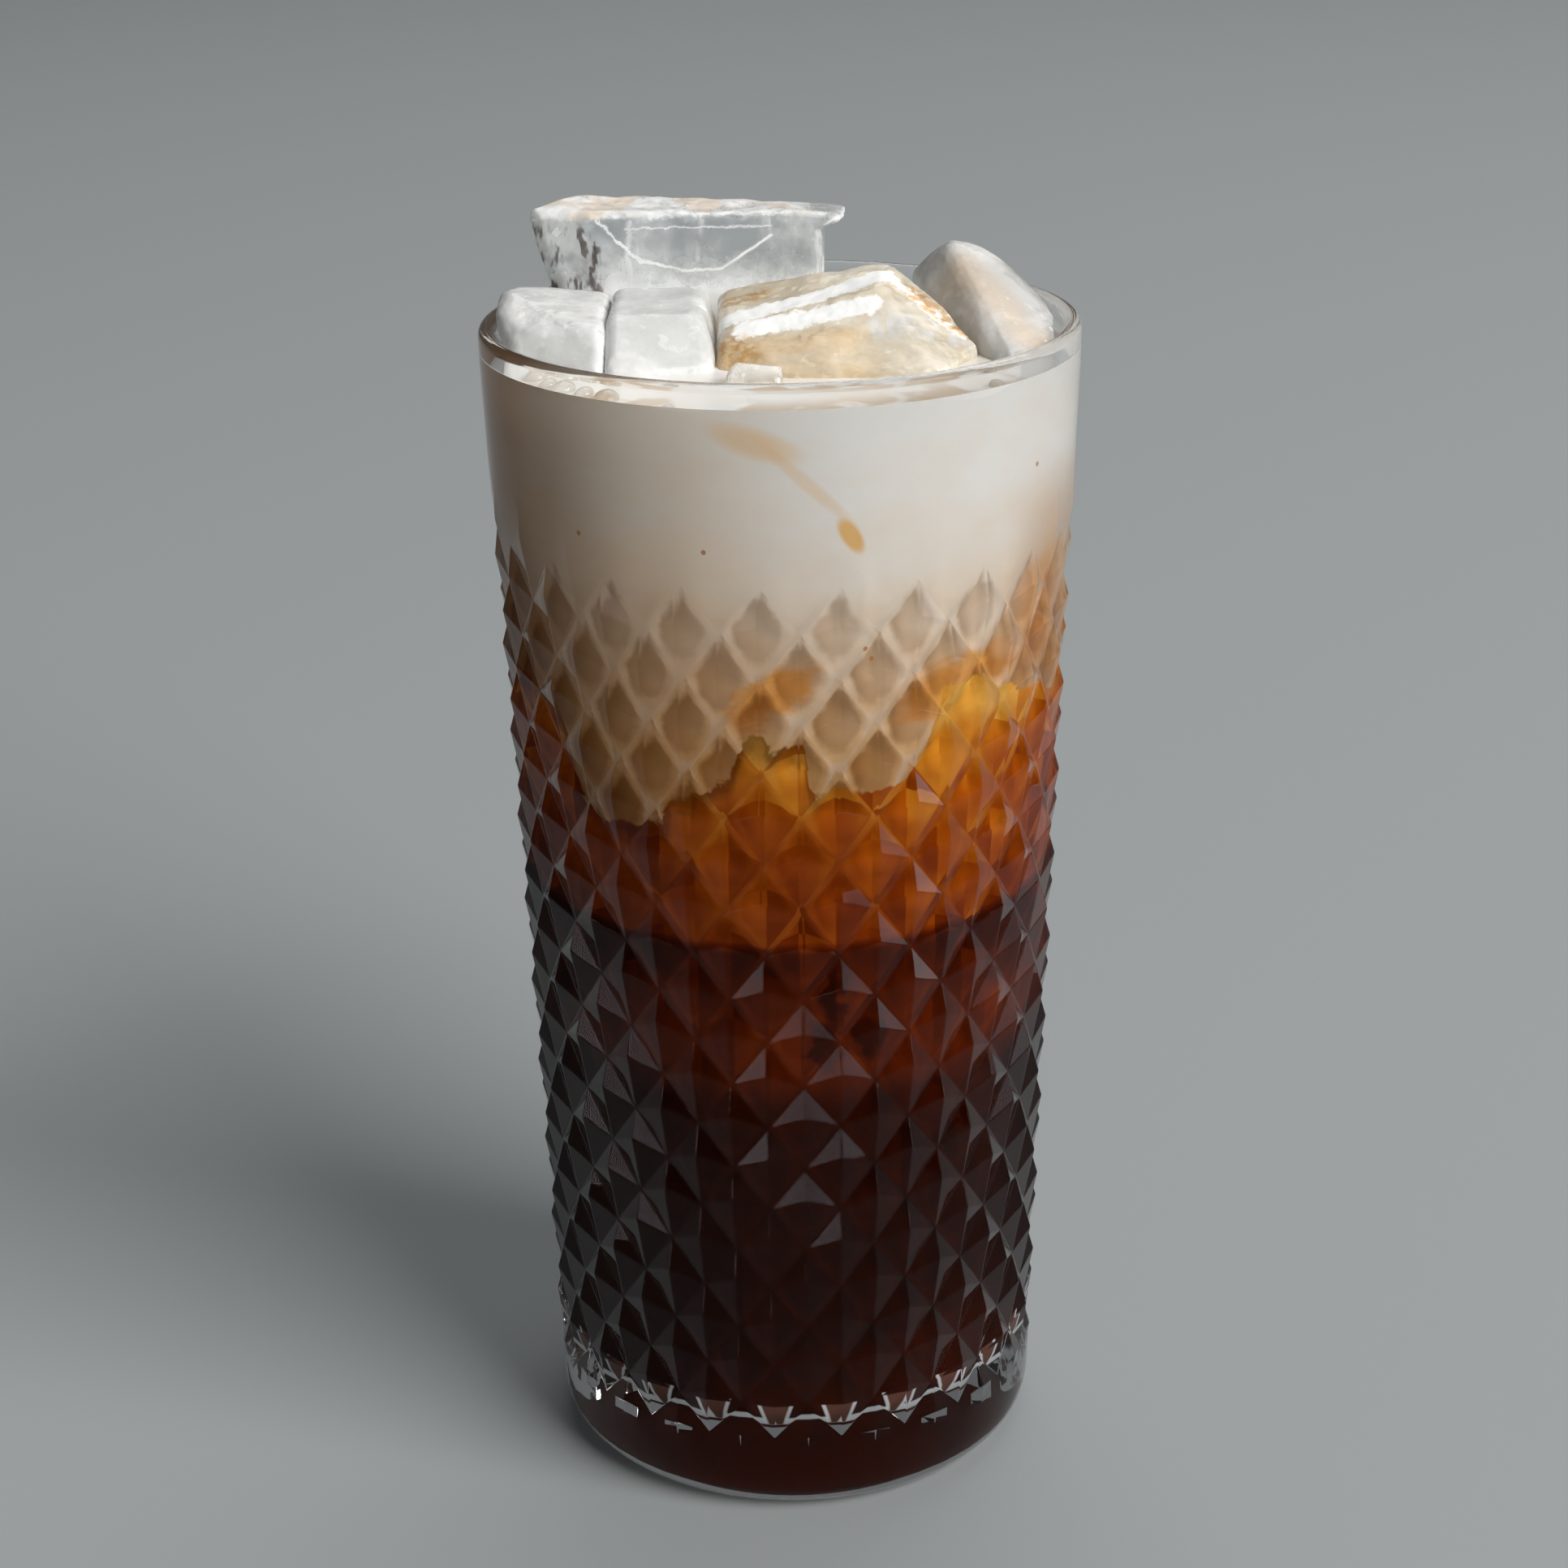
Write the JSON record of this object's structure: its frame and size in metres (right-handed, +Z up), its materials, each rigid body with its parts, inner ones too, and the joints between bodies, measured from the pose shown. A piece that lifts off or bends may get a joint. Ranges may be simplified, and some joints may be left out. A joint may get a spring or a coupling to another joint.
{
  "type": "thai iced tea",
  "caption": "Tall tapered tumbler with cut-diamond relief, holding iced tea under a thick layer of cream, with broken blocks of clear ice standing above the rim.",
  "frame": {"origin": "centre of the glass's base, on the surface that it stands on", "axes": "+Z up along the glass's axis, -Y towards the side that the picture shows, +X to the right in it"},
  "size_m": [0.0734, 0.0734, 0.1612],
  "materials": {
    "glass": "clear pressed glass, polished, with diamond relief",
    "tea": "deep brown-red translucent tea, amber where cream mixes in",
    "cream": "warm white milk and cream, glossy and slightly translucent",
    "ice": "clear ice with frosted white bands and small bubbles"
  },
  "bodies": {
    "root": {"glass": "glass", "tea": "tea", "cream": "cream", "ice_back_slab": "ice", "ice_left_lump": "ice", "ice_left_cube": "ice", "ice_middle": "ice", "ice_right_peak": "ice", "ice_chip": "ice"}
  },
  "joints": []
}
